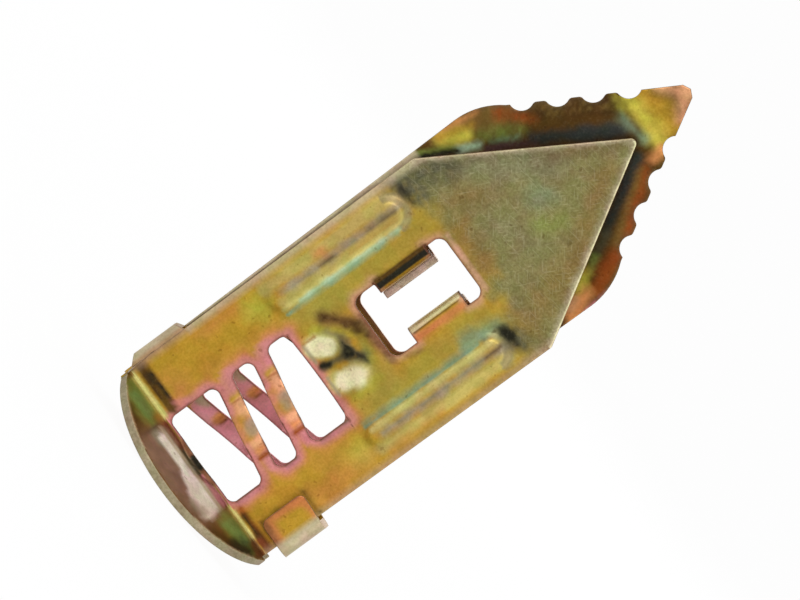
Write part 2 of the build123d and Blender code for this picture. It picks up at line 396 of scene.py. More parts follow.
def paint_dome(canvas):
    """The dome below the window: two bright faces painted as highlights, a dark saddle of painted shade and
    a pale green rim.
    """
    both = canvas.front + canvas.back
    canvas.stroke(both, "lime", (-2.4, 10.8), (-0.8, 12.9), 0.35, 0.9, 0.8)
    canvas.stroke(both, "fern", (0.0, 12.9), (2.0, 12.3), 0.35, 0.9, 0.6)
    canvas.stroke(both, "lime", (2.3, 12.2), (2.6, 10.6), 0.35, 0.9, 0.7)
    canvas.stroke(both, "russet", (-2.6, 11.8), (-1.0, 13.3), 0.45, 0.8, 0.8)
    canvas.stroke(both, "coffee", (-2.7, 11.7), (-1.0, 13.4), 0.2, 0.5, 1.0, fleck=0.35)
    canvas.stroke(both, "coffee", (-1.5, 12.7), (0.2, 13.4), 0.25, 0.5, 0.9, fleck=0.5)
    canvas.stroke(both, "rust_brown", (0.2, 13.5), (2.2, 13.8), 0.2, 0.4, 0.9, fleck=0.2)
    # Dark saddle between the bright faces: painted shade.
    canvas.stroke(both, "smoke", (-1.4, 11.4), (-0.3, 11.8), 0.45, 0.7, 0.9)
    canvas.stroke(both, "slate", (-0.9, 11.6), (0.9, 12.2), 0.45, 0.7, 0.9, fleck=0.3)
    canvas.stroke(both, "slate", (-0.1, 10.0), (0.1, 11.7), 0.3, 0.5, 0.9)
    canvas.stroke(both, "near_black", (-0.25, 9.85), (-0.05, 10.3), 0.22, 0.35, 1.0)
    canvas.stroke(both, "near_black", (-0.9, 11.7), (-0.1, 12.0), 0.2, 0.45, 0.9, fleck=0.5)
    canvas.stroke(both, "near_black", (0.0, 11.7), (1.1, 12.3), 0.28, 0.45, 0.95, fleck=0.4)
    # Bright faces of the dome: painted highlights.
    canvas.stroke(both, "lemon", (-1.5, 10.2), (-1.0, 11.0), 0.75, 0.5)
    canvas.stroke(both, "cream", (-1.45, 10.2), (-1.0, 10.9), 0.6, 0.35)
    canvas.stroke(both, "lemon", (1.2, 10.2), (1.6, 11.5), 0.8, 0.7)
    canvas.stroke(both, "cream", (1.25, 10.5), (1.6, 11.3), 0.6, 0.5)
    canvas.stroke(both, "ochre", (-2.0, 9.7), (-2.0, 10.6), 0.1, 0.2, 0.8)
    for side in (-1, 1):
        canvas.stroke(both, "stone", (side * 0.6, 9.7), (side * 1.9, 9.7), 0.12, 0.2, 0.8)


def paint_ribs(canvas):
    """The stiffening ribs: a teal line inside and a bright shoulder as painted highlights, a grey crest, a
    straw flank and painted shade just past their ends.
    """
    both = canvas.front + canvas.back
    low, high = RIB_ENDS
    for side in (-1, 1):
        canvas.stroke(both, "straw", (side * 6.2, low + 0.6), (side * 6.2, high - 0.6), 0.45, 0.5, 0.9)
        canvas.stroke(both, "straw", (side * 4.9, low + 1.0), (side * 4.9, high - 0.3), 0.3, 0.4, 0.9)
        canvas.stroke(both, "stone", (side * 5.45, low + 1.3), (side * 5.45, high - 0.4), 0.22, 0.5, 0.95)
        canvas.stroke(both, "smoke", (side * 5.4, low + 2.5), (side * 5.4, high - 0.8), 0.1, 0.3, 0.7, 0.6)
    canvas.stroke(both, "amber", (-4.95, 15.5), (-4.95, high - 1.0), 0.12, 0.3, 0.7)
    # Painted highlights along the inner slope of the -X rib: lemon, mint and teal lines.
    canvas.stroke(both, "lemon", (-4.5, low + 0.8), (-4.5, high - 0.4), 0.15, 0.4, 0.8)
    canvas.stroke(both, "mint", (-4.35, low + 2.0), (-4.3, high - 1.2), 0.12, 0.3, 0.9)
    canvas.stroke(both, "teal", (-4.1, low + 0.8), (-4.1, high - 1.5), 0.1, 0.2, 0.9)
    canvas.stroke(both, "orange", (-6.1, 13.8), (-6.0, 14.2), 0.35, 0.8, 0.7)
    # Drab brown lines along the rib crests.
    canvas.stroke(both, "drab_brown", (-5.35, 13.6), (-5.3, 14.7), 0.1, 0.25, 0.9)
    canvas.stroke(both, "drab_brown", (-5.45, 17.2), (-5.4, 19.4), 0.12, 0.25, 0.9)
    # Painted highlights along the inner slope of the +X rib: teal and lemon lines.
    canvas.stroke(both, "teal", (4.2, low + 0.6), (4.2, high - 1.0), 0.12, 0.5, 0.6)
    canvas.stroke(both, "teal", (4.45, low + 0.6), (4.45, high - 1.6), 0.1, 0.25, 0.9)
    canvas.stroke(both, "lemon", (4.8, low + 0.8), (4.8, high - 0.8), 0.12, 0.3, 1.0)
    canvas.stroke(both, "amber", (6.6, low + 0.8), (6.6, high - 6.0), 0.25, 0.6, 0.7)
    canvas.stroke(both, "drab_brown", (5.4, 18.5), (5.35, 19.7), 0.12, 0.25, 0.9)
    x, _, z = canvas.place.T
    half, middle = (RIB_SIDES[1] - RIB_SIDES[0]) / 2, sum(RIB_SIDES) / 2
    from_end = np.abs(np.hypot(np.abs(x) - middle, z - (high - half)) - half + 0.1)
    canvas.band(both * (z > high - half), "smoke", from_end, 0.15, 0.4, 0.6)
    # Dark patches just past the rib ends: painted shade.
    canvas.stroke(both, "teal", (3.8, 18.2), (4.2, 20.2), 0.45, 1.0, 0.7)
    canvas.stroke(both, "slate", (4.6, 20.3), (5.9, 20.9), 0.45, 0.9, 0.95, fleck=0.3)
    canvas.stroke(both, "near_black", (4.7, 20.35), (5.2, 20.6), 0.35, 0.4, 1.0)
    canvas.stroke(both, "near_black", (5.2, 20.5), (6.0, 20.6), 0.12, 0.3, 0.8, fleck=0.4)
    canvas.stroke(both, "slate", (-6.9, 20.4), (-5.2, 21.2), 0.6, 1.1, 1.0, fleck=0.3)
    canvas.stroke(both, "near_black", (-6.3, 20.5), (-5.3, 20.6), 0.2, 0.5, 0.8, fleck=0.5)


def paint_point(canvas):
    """The short leg's rubbed point: matt grey-olive with gold towards the window."""
    x, _, z = canvas.place.T
    rubbed = smooth_step(20.6, 22.6, z + 0.1 * np.abs(x) + canvas.wobble)
    rubbed *= canvas.front + canvas.back * (1 - 0.7 * smooth_step(28.0, 35.0, z))
    canvas.blend(rubbed, "steel_olive")
    canvas.scuff = np.maximum(canvas.scuff, rubbed)
    where = canvas.front
    canvas.stroke(where, "bronze", (-2.2, 21.8), (0.5, 21.7), 0.8, 1.6, 0.7)
    canvas.stroke(where, "bronze", (-3.6, 22.4), (-3.4, 24.2), 0.6, 1.6, 0.5)
    canvas.stroke(where, "bronze", (5.2, 21.8), (3.6, 27.6), 0.9, 1.8, 0.6)
    canvas.stroke(where, "bronze", (2.2, 28.6), (0.6, 31.5), 0.6, 1.6, 0.55)
    canvas.stroke(where, "steel_grey", (-4.6, 25.0), (-1.8, 28.8), 0.9, 1.8, 0.8)
    canvas.stroke(where, "steel_grey", (-1.0, 24.0), (1.5, 25.2), 0.6, 1.8, 0.4)
    canvas.stroke(where, "teal", (-0.9, 26.8), (-0.5, 27.4), 0.6, 1.6, 0.4)
    canvas.stroke(where, "fern", (0.8, 26.2), (1.3, 27.2), 0.6, 1.4, 0.5)
    canvas.stroke(where, "slate", (-6.7, 21.0), (-5.6, 23.4), 0.8, 1.6, 1.0, fleck=0.3)
    canvas.stroke(where, "slate", (-5.6, 24.4), (-3.2, 28.4), 0.15, 0.8, 0.5)
    canvas.stroke(where, "drab_brown", (-2.4, 29.4), (-0.2, 33.4), 0.4, 1.4, 0.6)
    canvas.stroke(where, "drab_brown", (5.4, 20.6), (6.4, 21.2), 0.5, 1.4, 0.5)


def paint_window(canvas):
    """The flaps and the rim of the window, with painted shade on the -X flap and a painted highlight along
    the +X flap's bend.
    """
    low, high = WINDOW
    where = canvas.front
    # The -X flap turns away from the light: painted shade on it.
    canvas.stroke(where, "umber", (-2.45, low + 1.8), (-2.45, high - 1.3), 0.2, 0.15, 1.0)
    canvas.stroke(where, "near_black", (-2.15, low + 1.8), (-2.15, high - 1.3), 0.2, 0.12, 1.0)
    canvas.stroke(where, "orange", (1.9, low + 1.9), (1.9, high - 1.7), 0.25, 0.3, 0.9)
    # The +X flap's bend: a thin painted shade line, then a painted highlight.
    canvas.stroke(where, "umber", (1.5, low + 1.9), (1.5, high - 1.7), 0.06, 0.1, 0.8)
    canvas.stroke(where, "cream", (1.2, low + 1.7), (1.2, high - 1.6), 0.22, 0.12, 0.75)
    z = canvas.place[:, 2]
    canvas.band(canvas.inner * (z > 13) * (z < 21.5), "rust_brown", canvas.opening, 0.2, 0.5, 0.85)
    canvas.stroke(where, "rust_brown", (-1.5, low - 0.15), (2.0, low - 0.15), 0.06, 0.12, 0.8)
    canvas.stroke(where, "salmon", (-2.2, high + 0.2), (2.0, high + 0.2), 0.12, 0.25, 0.8)
    canvas.stroke(where, "rust_brown", (2.5, low + 0.6), (2.6, low + 1.6), 0.1, 0.25, 0.8, fleck=0.3)


def paint_roots(canvas):
    """The bends where the legs leave the head, and the folds beside them, with painted highlights along the
    bends and painted shade in the screw's passage.
    """
    both = canvas.front + canvas.back
    canvas.stroke(both, "umber", (-6.9, 0.75), (-3.6, 0.8), 0.32, 0.3, 0.95)
    canvas.stroke(both, "coffee", (-6.9, 0.55), (-3.7, 0.6), 0.12, 0.25, 0.9, fleck=0.5)
    canvas.stroke(both, "coffee", (-6.9, 0.95), (-3.7, 1.05), 0.15, 0.3, 1.0, fleck=0.3)
    canvas.stroke(both, "near_black", (-6.4, 0.95), (-4.2, 1.08), 0.12, 0.25, 1.0, fleck=0.6)
    # Painted highlights along the bends.
    canvas.stroke(both, "lemon", (-7.0, 0.1), (-3.5, 0.2), 0.15, 0.2, 1.0)
    canvas.stroke(both, "lemon", (3.9, 0.08), (5.8, 0.08), 0.15, 0.2, 1.0)
    canvas.stroke(both, "rust", (3.9, 0.5), (6.9, 0.55), 0.22, 0.4, 0.9)
    canvas.stroke(both, "coffee", (4.4, 0.42), (6.9, 0.45), 0.17, 0.25, 1.0)
    # Painted shade in the screw's passage through the head.
    canvas.stroke(both, "near_black", (-0.45, 0.08), (0.45, 0.08), 0.2, 0.2, 1.0)
    canvas.stroke(canvas.inner + canvas.lining, "coffee", (-1.8, 0.0), (1.8, 0.0), 0.6, 0.2, 1.0)
    canvas.stroke(both, "brick", (6.3, 0.35), (7.0, 0.4), 0.2, 0.3, 1.0)
    canvas.stroke(both, "rose", (-3.2, 0.1), (-0.6, 0.1), 0.12, 0.15, 0.9)
    canvas.stroke(both, "rose", (0.8, 0.1), (3.2, 0.1), 0.12, 0.15, 0.9)
    canvas.stroke(both, "orange", (-4.0, 1.5), (-4.2, 2.0), 0.3, 0.8, 0.7)
    canvas.stroke(both, "rose", (-3.8, 1.2), (-3.6, 1.9), 0.15, 0.4, 0.6)
    x, _, z = canvas.place.T
    collar = (z > -0.1) * (z < 4.7)
    canvas.blend(both * collar * smooth_step(6.6, 7.3, np.abs(x)) * 0.8, "sand")
    canvas.blend(both * collar * smooth_step(7.3, 7.6, np.abs(x)), "beige")


def paint_tab(canvas):
    """The tab that wraps over the fold: a pink border and a painted shadow line where it lies down."""
    where = canvas.front
    # Painted contact shadow along the tab's edges.
    for start, end in (((5.3, 1.3), (5.3, 4.3)), ((5.4, 4.42), (7.0, 4.42)), ((5.4, 1.1), (7.0, 1.1))):
        canvas.stroke(where, "umber", start, end, 0.1, 0.2, 0.8)
    x, y, z = canvas.place.T
    tab = where * (y < -LEG_FACE - 0.1) * (x > 5.2) * (z > 0.9) * (z < 4.6)
    canvas.blend(tab, "mustard")
    canvas.band(tab * (x < 7.4), "orange", np.minimum(x - 5.38, np.minimum(z - 1.25, 4.3 - z)),
                0.25, 0.7, 0.9)
    canvas.band(tab * (x < 7.4), "rust_brown", np.minimum(x - 5.38, np.minimum(z - 1.25, 4.3 - z)),
                0.03, 0.2, 0.7)
    canvas.blend(tab * smooth_step(6.9, 7.4, x), "beige")


def paint_head(canvas):
    """The head's tip side: green flanks and, between two creases, a painted reflection from pale near the
    legs to brown near the rim.
    """
    where = canvas.head
    canvas.blend(where, "bronze")
    for side in (-1, 1):
        canvas.stroke(where, "umber", (side * 6.4, -0.9), (side * 3.5, -1.6), 0.4, 0.6, 0.95)
        canvas.stroke(where, "fern", (side * 6.3, -0.4), (side * 3.9, -0.45), 0.45, 0.5, 1.0)
        canvas.stroke(where, "moss", (side * 5.7, -0.45), (side * 4.2, -0.5), 0.25, 0.5, 1.0)
        # Painted highlight along the bend.
        canvas.stroke(where, "lemon", (side * 6.6, 0.0), (side * 3.5, 0.0), 0.14, 0.15, 0.9)
    canvas.stroke(where, "amber", (-3.9, -0.2), (-3.6, -0.2), 0.2, 0.3, 0.8)
    canvas.stroke(where, "near_black", (6.4, -0.7), (5.4, -0.9), 0.35, 0.5, 0.9)
    canvas.stroke(where, "brick", (6.9, -0.1), (6.2, 0.0), 0.25, 0.3, 0.8)
    # The middle panel: a painted reflection, pale near the legs and brown near the rim.
    canvas.stroke(where, "russet", (-3.0, -1.4), (3.0, -1.4), 0.6, 0.4, 0.95)
    canvas.stroke(where, "rust_brown", (-2.6, -1.2), (0.6, -1.2), 0.25, 0.5, 0.8, fleck=0.4)
    canvas.stroke(where, "smoke", (-3.1, -0.75), (-2.3, -0.75), 0.25, 0.3, 0.9)
    canvas.stroke(where, "pearl", (-2.6, -0.58), (0.2, -0.6), 0.24, 0.2, 1.0)
    canvas.stroke(where, "pearl", (0.2, -0.68), (1.4, -0.8), 0.34, 0.3, 1.0)
    canvas.stroke(where, "pearl", (1.4, -0.8), (2.9, -0.9), 0.5, 0.3, 1.0)
    canvas.stroke(where, "stone", (1.8, -1.35), (2.8, -1.2), 0.2, 0.3, 0.6)
    canvas.stroke(where, "beige", (-3.1, -0.4), (3.2, -0.4), 0.07, 0.08, 1.0)
    canvas.stroke(where, "slate", (-1.4, -0.12), (0.8, -0.12), 0.14, 0.12, 0.9)
    canvas.stroke(where, "brick", (-3.1, -0.12), (-1.4, -0.12), 0.14, 0.15, 0.8)
    canvas.stroke(where, "rose", (0.9, -0.12), (3.1, -0.12), 0.14, 0.15, 0.9)
    # Round the screw's passage: painted shade, darkest in the middle.
    canvas.stroke(where, "rust_brown", (-1.6, 0.12), (1.6, 0.12), 0.22, 0.2, 1.0)
    canvas.stroke(where, "near_black", (-0.35, 0.1), (0.35, 0.1), 0.22, 0.2, 1.0)
    for side in (-1, 1):
        canvas.stroke(where, "coffee", (side * HALF_HEAD, -0.4), (side * HALF_HEAD, -1.9), 0.05, 0.1, 0.9)
    canvas.band(where * (canvas.place[:, 2] < -0.5), "beige", canvas.outline, 0.05, 0.25, 0.9)


def paint_bands(canvas):
    """The bands that grip the screw: pink and orange, with a grey crown."""
    short_leg, long_leg = canvas.front, canvas.inner
    for row in range(2):
        def spot(x, rise=0.0):
            return x, 4.35 + 2.75 * row - 0.18 * x + rise
        canvas.stroke(short_leg, "rose", spot(-2.9), spot(-2.3), 0.8, 0.3, 0.6)
        canvas.stroke(short_leg, "mustard", spot(-1.85, -0.5), spot(-1.85, 0.5), 0.22, 0.35, 1.0)
        canvas.stroke(short_leg, "peach", spot(-1.3), spot(-0.9), 0.55, 0.5, 0.9)
        canvas.stroke(short_leg, "sand", spot(0.0, -0.2), spot(0.5, -0.2), 0.35, 0.5, 0.9)
        canvas.stroke(short_leg, "stone", spot(-0.2, 0.1), spot(0.4, 0.3), 0.2, 0.4, 0.8)
        canvas.stroke(short_leg, "peach", spot(1.25, 0.4), spot(1.25, -0.4), 0.3, 0.5, 1.0)
        canvas.stroke(short_leg, "apricot", spot(1.7, 0.4), spot(1.7, -0.4), 0.2, 0.4, 0.8)
        canvas.stroke(short_leg, "rust", spot(2.15, -0.6), spot(2.15, 0.6), 0.14, 0.25, 1.0)
        canvas.stroke(short_leg, "rust", spot(-1.65, -0.5), spot(-1.65, 0.5), 0.06, 0.2, 0.6)
        canvas.stroke(short_leg, "rose", spot(2.9), spot(2.8), 0.5, 0.3, 0.6)
        canvas.stroke(short_leg, "slate", spot(0.1, 0.5), spot(0.3, 0.5), 0.08, 0.25, 0.7)

        def far(x, rise=0.0):
            return x, 3.3 + 2.75 * row + 0.24 * x + rise
        canvas.stroke(long_leg, "blush", far(-2.4), far(2.6), 1.35, 0.3, 1.0)
        canvas.stroke(long_leg, "beige", far(-3.2), far(-2.9), 0.6, 0.4, 0.9)
        canvas.stroke(long_leg, "brick", far(-1.15, -0.6), far(-1.1, 0.6), 0.1, 0.25, 0.9)
        canvas.stroke(long_leg, "apricot", far(-1.5, -0.6), far(-1.5, 0.5), 0.3, 0.4, 1.0)
        canvas.stroke(long_leg, "rust", far(-1.2, 0.4), far(-1.2, 0.8), 0.25, 0.4, 0.9)
        canvas.stroke(long_leg, "rose", far(0.2), far(1.4), 0.4, 0.4, 0.6)
        canvas.stroke(long_leg, "brick", far(0.2, 0.55), far(2.0, 0.55), 0.06, 0.2, 0.7)


def paint_slot_ends(canvas):
    """A dark line round the right-hand ends of the slots."""
    for start, end in (((3.42, 0.6), (3.4, 2.3)), ((3.42, 4.4), (3.42, 5.3)), ((3.42, 7.1), (3.42, 9.2))):
        canvas.stroke(canvas.front, "slate", start, end, 0.07, 0.15, 0.9)
        canvas.stroke(canvas.front, "magenta", (start[0] + 0.2, start[1]), (end[0] + 0.2, end[1]),
                      0.1, 0.3, 0.5)
    for start, end in (((-3.25, 0.8), (-3.25, 1.8)), ((-3.2, 3.0), (-3.2, 3.6)), ((-3.2, 8.4), (-3.2, 9.0))):
        canvas.stroke(canvas.front, "slate", start, end, 0.04, 0.15, 0.5)
        canvas.stroke(canvas.front, "plum", start, end, 0.1, 0.3, 0.4)


def paint_saw(canvas):
    """The long leg's saw, darkened by the plating where it leaves the short leg, with a painted dark
    reflection and painted shade along the short leg's edges.
    """
    where = canvas.inner * (canvas.place[:, 2] > 20.5)
    canvas.blend(where, "umber")
    canvas.stroke(where, "bronze", (-7.5, 24.4), (-6.4, 28.4), 0.9, 1.4, 0.9, fleck=0.2)
    canvas.stroke(where, "apricot", (-7.6, 24.4), (-7.5, 27.0), 0.2, 0.7, 0.8)
    canvas.stroke(where, "canary", (-7.1, 24.2), (-6.5, 25.6), 0.4, 1.0, 1.0)
    canvas.stroke(where, "mustard", (-7.4, 24.2), (-6.9, 26.2), 0.15, 0.7, 0.8)
    canvas.stroke(where, "fern", (-7.3, 22.6), (-6.4, 24.4), 0.25, 0.4, 0.9)
    canvas.stroke(where, "mint", (-6.1, 24.7), (-5.6, 25.9), 0.22, 0.5, 1.0)
    canvas.stroke(where, "fern", (-5.9, 26.4), (-4.9, 28.6), 0.35, 1.0, 0.8, fleck=0.3)
    canvas.stroke(where, "rust", (-6.4, 28.2), (-5.0, 29.6), 0.35, 0.9, 0.9, fleck=0.3)
    canvas.stroke(where, "teal", (-5.3, 26.6), (-4.5, 28.2), 0.1, 0.5, 0.6)
    # Along the short leg's -X edge: a painted dark reflection of that edge and the gap behind it.
    canvas.stroke(where, "plum", (-5.1, 26.2), (-3.6, 28.8), 0.22, 0.4, 1.0)
    canvas.stroke(where, "coffee", (-5.2, 30.3), (-2.8, 34.0), 0.7, 1.0, 0.9, fleck=0.3)
    canvas.stroke(where, "bronze", (-4.6, 30.6), (-2.8, 33.8), 0.12, 0.4, 0.7, fleck=0.7)
    canvas.stroke(where, "bronze", (-5.4, 30.2), (-3.6, 33.2), 0.1, 0.3, 0.7, fleck=0.7)
    # More painted dark reflection beside the short leg's -X edge.
    canvas.stroke(where, "reflected_gap_blue", (-3.9, 28.9), (-1.2, 33.4), 0.35, 0.7, 1.0)
    canvas.stroke(where, "reflected_gap_blue", (-2.4, 31.8), (-1.0, 33.6), 0.45, 0.7, 0.8)
    canvas.stroke(where, "mustard", (-2.0, 36.2), (0.6, 36.2), 0.9, 1.6, 0.9)
    canvas.stroke(where, "canary", (-2.4, 35.2), (0.8, 35.3), 0.5, 1.4, 0.9)
    canvas.stroke(where, "teal", (-1.6, 34.2), (0.2, 34.5), 0.2, 0.9, 0.8)
    canvas.stroke(where, "peach", (-1.9, 37.0), (-0.6, 38.5), 0.3, 0.9, 0.9)
    canvas.stroke(where, "peach", (-0.6, 38.4), (0.6, 37.2), 0.35, 0.9, 0.9)
    canvas.stroke(where, "apricot", (1.6, 34.3), (1.5, 35.0), 0.3, 0.8, 1.0)
    canvas.stroke(where, "rust", (2.0, 33.2), (5.2, 29.2), 0.45, 0.9, 0.9)
    canvas.stroke(where, "bronze", (1.6, 33.2), (4.6, 29.0), 0.2, 0.5, 0.8)
    # Along the short leg's +X edge: the same painted dark reflection.
    canvas.stroke(where, "reflected_gap_blue", (0.9, 33.5), (3.4, 29.2), 0.3, 0.6, 1.0)
    canvas.stroke(where, "slate", (3.5, 29.1), (4.3, 27.8), 0.25, 0.6, 0.8)
    canvas.stroke(where, "fern", (4.4, 27.6), (4.9, 26.8), 0.2, 0.5, 0.9)
    canvas.stroke(where, "rust", (5.2, 28.6), (6.0, 26.6), 0.55, 0.9, 1.0)
    canvas.stroke(where, "canary", (4.9, 26.4), (5.5, 25.6), 0.35, 0.8, 1.0)
    canvas.stroke(where, "apricot", (6.4, 24.2), (5.9, 25.8), 0.4, 0.8, 1.0)
    canvas.stroke(where, "peach", (6.0, 24.4), (5.8, 24.9), 0.25, 0.6, 0.8)
    canvas.stroke(where, "rose", (6.8, 25.2), (6.6, 27.2), 0.1, 0.4, 0.7)
    # Beside the short leg's shoulder: painted shade.
    canvas.stroke(where, "near_black", (-7.1, 22.6), (-6.1, 24.6), 0.2, 0.3, 1.0)


def paint_rims(canvas):
    """Painted rim highlights along the outline, a painted shadow line where the legs meet and a drab band
    along the saw's edge.
    """
    both = canvas.front + canvas.back
    x, _, z = canvas.place.T
    # Painted rim highlights along the legs' long edges.
    canvas.blend(both * (1 - smooth_step(-7.15, -6.6, x)) * (z > 4.4) * (z < 22.5) * 0.8, "beige")
    canvas.blend(both * smooth_step(6.7, 7.15, x) * (z > 4.6) * 0.6, "sand")
    tapered = canvas.front * (z > SHOULDER - 0.1)
    # Painted highlights along the point's edges.
    canvas.band(tapered * (x > 0), "stone", canvas.outline, 0.15, 0.5, 0.8)
    canvas.band(tapered * (x > 0), "cream", canvas.outline, 0.03, 0.16, 0.9)
    canvas.band(tapered * (x <= 0), "stone", canvas.outline, 0.1, 0.35, 0.9)
    # The long leg's strip beside the short leg: a pale painted rim highlight, then a painted shadow line
    # where the legs meet.
    beside = canvas.inner * (z > 4.3) * (z < 22.5) * (np.abs(x) > 6)
    canvas.blend(beside, "beige")
    canvas.blend(beside * (1 - smooth_step(7.25, 7.4, np.abs(x))), "coffee")
    canvas.band(canvas.inner * (z > 26) * (z < 34), "drab_brown", canvas.outline, 0.03, 0.3, 0.6)


FEATURES = (paint_point, paint_dome, paint_ribs, paint_window, paint_roots, paint_tab, paint_head,
            paint_bands, paint_slot_ends, paint_saw, paint_rims)


def paint_sheared(canvas):
    """The cut edges: pale along the short leg and the head, brown round the openings and the saw, and dark
    as painted shade in the screw's passage.
    """
    plating, canvas.colour = canvas.colour, canvas.sheared
    everywhere = np.ones(len(canvas.place))
    far = (canvas.place[:, 1] > 0).astype(float)
    canvas.blend(everywhere * (canvas.place[:, 2] < 0.3), "stone")
    canvas.blend(far * smooth_step(21.5, 23.5, canvas.place[:, 2]), "umber")
    canvas.blend(1 - smooth_step(0.05, 0.3, canvas.opening), "rust_brown")
    window = smooth_step(13.0, 13.5, canvas.place[:, 2]) * (canvas.place[:, 2] < 21.5)
    canvas.blend(far * window * (canvas.opening < 0.5) * 0.9, "blush_grey")
    canvas.blend(far * (canvas.opening < 0.5) * (canvas.place[:, 2] < 11), "rose")
    # Cut edges in the screw's passage: painted shade.
    canvas.blend((np.abs(canvas.place[:, 0]) < 1.8) * (np.abs(canvas.place[:, 2]) < 0.5) * 1.0, "coffee")
    canvas.colour = plating


def paint_sheet(canvas):
    """Lay every colour on the sheet, broad ones first."""
    paint_faces(canvas)
    paint_openings(canvas)
    for paint in FEATURES:
        paint(canvas)
    paint_sheared(canvas)


def store(mesh, name, kind, key, values):
    layer = mesh.attributes.new(name=name, type=kind, domain="POINT")
    layer.data.foreach_set(key, np.ascontiguousarray(values, dtype=np.float32).ravel())


# ---------------------------------------------------------------- shader groups

def new_group(name, inputs, outputs):
    """An empty shader group with named sockets, and its input and output nodes."""
    group = bpy.data.node_groups.new(name, "ShaderNodeTree")
    for label, kind in inputs:
        group.interface.new_socket(name=label, in_out="INPUT", socket_type=kind)
    for label, kind in outputs:
        group.interface.new_socket(name=label, in_out="OUTPUT", socket_type=kind)
    return group, group.nodes.new("NodeGroupInput"), group.nodes.new("NodeGroupOutput")


def math_node(tree, operation, first, second):
    node = tree.nodes.new("ShaderNodeMath")
    node.operation = operation
    for socket, value in zip(node.inputs, (first, second)):
        if isinstance(value, (int, float)):
            socket.default_value = value
        else:
            tree.links.new(value, socket)
    return node.outputs["Value"]


def noise_node(tree, vector, period, detail=2.0, stretch=None):
    """Noise with its grain given as a length, on coordinates in metres."""
    if stretch:
        mapping = tree.nodes.new("ShaderNodeMapping")
        mapping.vector_type = "TEXTURE"
        mapping.inputs["Rotation"].default_value = (0, math.radians(stretch[0]), 0)
        mapping.inputs["Scale"].default_value = (1, 1, stretch[1])
        tree.links.new(vector, mapping.inputs["Vector"])
        vector = mapping.outputs["Vector"]
    node = tree.nodes.new("ShaderNodeTexNoise")
    node.inputs["Scale"].default_value = 1 / period
    node.inputs["Detail"].default_value = detail
    tree.links.new(vector, node.inputs["Vector"])
    return node.outputs["Fac"]


def tint_node(tree, kind, share, base, tint):
    """Mix a tint into a colour by a share that is a number or a socket."""
    node = tree.nodes.new("ShaderNodeMix")
    node.data_type = "RGBA"
    node.blend_type = kind
    for socket, value in ((node.inputs[0], share), (node.inputs[6], base), (node.inputs[7], tint)):
        if isinstance(value, bpy.types.NodeSocket):
            tree.links.new(value, socket)
        else:
            socket.default_value = value
    return node.outputs[2]


def ramp_node(tree, value, low, high, start=0.0, end=1.0):
    """A smooth step from start to end while the value goes from low to high."""
    node = tree.nodes.new("ShaderNodeMapRange")
    node.interpolation_type = "SMOOTHSTEP"
    for label, number in (("From Min", low), ("From Max", high), ("To Min", start), ("To Max", end)):
        node.inputs[label].default_value = number
    tree.links.new(value, node.inputs["Value"])
    return node.outputs["Result"]


def grain_group():
    """Uneven plating: cloudy tone, fine grain, small pits and rubbed scratches."""
    group, source, sink = new_group(
        "plating_grain",
        [("Color", "NodeSocketColor"), ("Vector", "NodeSocketVector"),
         ("Grain", "NodeSocketFloat"), ("Scratches", "NodeSocketFloat")],
        [("Color", "NodeSocketColor"), ("Roughness", "NodeSocketFloat"),
         ("Height", "NodeSocketFloat")])
    vector, colour = source.outputs["Vector"], source.outputs["Color"]
    cloud = noise_node(group, vector, 0.9 * MM, 3.0)
    grain = noise_node(group, vector, 0.16 * MM, 3.0)
    pits = noise_node(group, vector, 0.42 * MM, 1.0)
    scratch_a = noise_node(group, vector, 0.10 * MM, 1.0, stretch=(28, 12))
    scratch_b = noise_node(group, vector, 0.10 * MM, 1.0, stretch=(-52, 10))
    scratch_c = noise_node(group, vector, 0.10 * MM, 1.0, stretch=(80, 12))
    lines = math_node(group, "MAXIMUM", ramp_node(group, scratch_a, 0.58, 0.74),
                      ramp_node(group, scratch_b, 0.58, 0.74))
    lines = math_node(group, "MAXIMUM", lines, ramp_node(group, scratch_c, 0.6, 0.76))
    marks = math_node(group, "MULTIPLY", lines, source.outputs["Scratches"])

    patches = noise_node(group, vector, 1.6 * MM, 2.0)
    warm = ramp_node(group, cloud, 0.35, 0.65)
    tone = tint_node(group, "MULTIPLY", warm, colour, (0.86, 0.92, 0.82, 1))
    tone = tint_node(group, "MULTIPLY", ramp_node(group, patches, 0.4, 0.65), tone,
                     (0.96, 0.86, 0.92, 1))
    dark = math_node(group, "MULTIPLY", ramp_node(group, grain, 0.62, 0.3), source.outputs["Grain"])
    tone = tint_node(group, "MULTIPLY", dark, tone, (0.55, 0.5, 0.42, 1))
    pale = math_node(group, "MULTIPLY", ramp_node(group, grain, 0.5, 0.75), source.outputs["Grain"])
    pale = math_node(group, "MULTIPLY", pale, 0.5)
    tone = tint_node(group, "SCREEN", pale, tone, (0.12, 0.11, 0.07, 1))
    spots = math_node(group, "MULTIPLY", ramp_node(group, pits, 0.71, 0.77), 0.45)
    tone = tint_node(group, "MULTIPLY", spots, tone, (0.45, 0.34, 0.2, 1))
    tone = tint_node(group, "SCREEN", math_node(group, "MULTIPLY", marks, 0.4), tone,
                     (0.16, 0.15, 0.1, 1))
    group.links.new(tone, sink.inputs["Color"])

    uneven = math_node(group, "MULTIPLY", grain, 0.25)
    uneven = math_node(group, "ADD", uneven, math_node(group, "MULTIPLY", cloud, 0.2))
    group.links.new(math_node(group, "SUBTRACT", uneven, 0.22), sink.inputs["Roughness"])
    height = math_node(group, "SUBTRACT", grain, math_node(group, "MULTIPLY", marks, 0.6))
    group.links.new(height, sink.inputs["Height"])
    return group


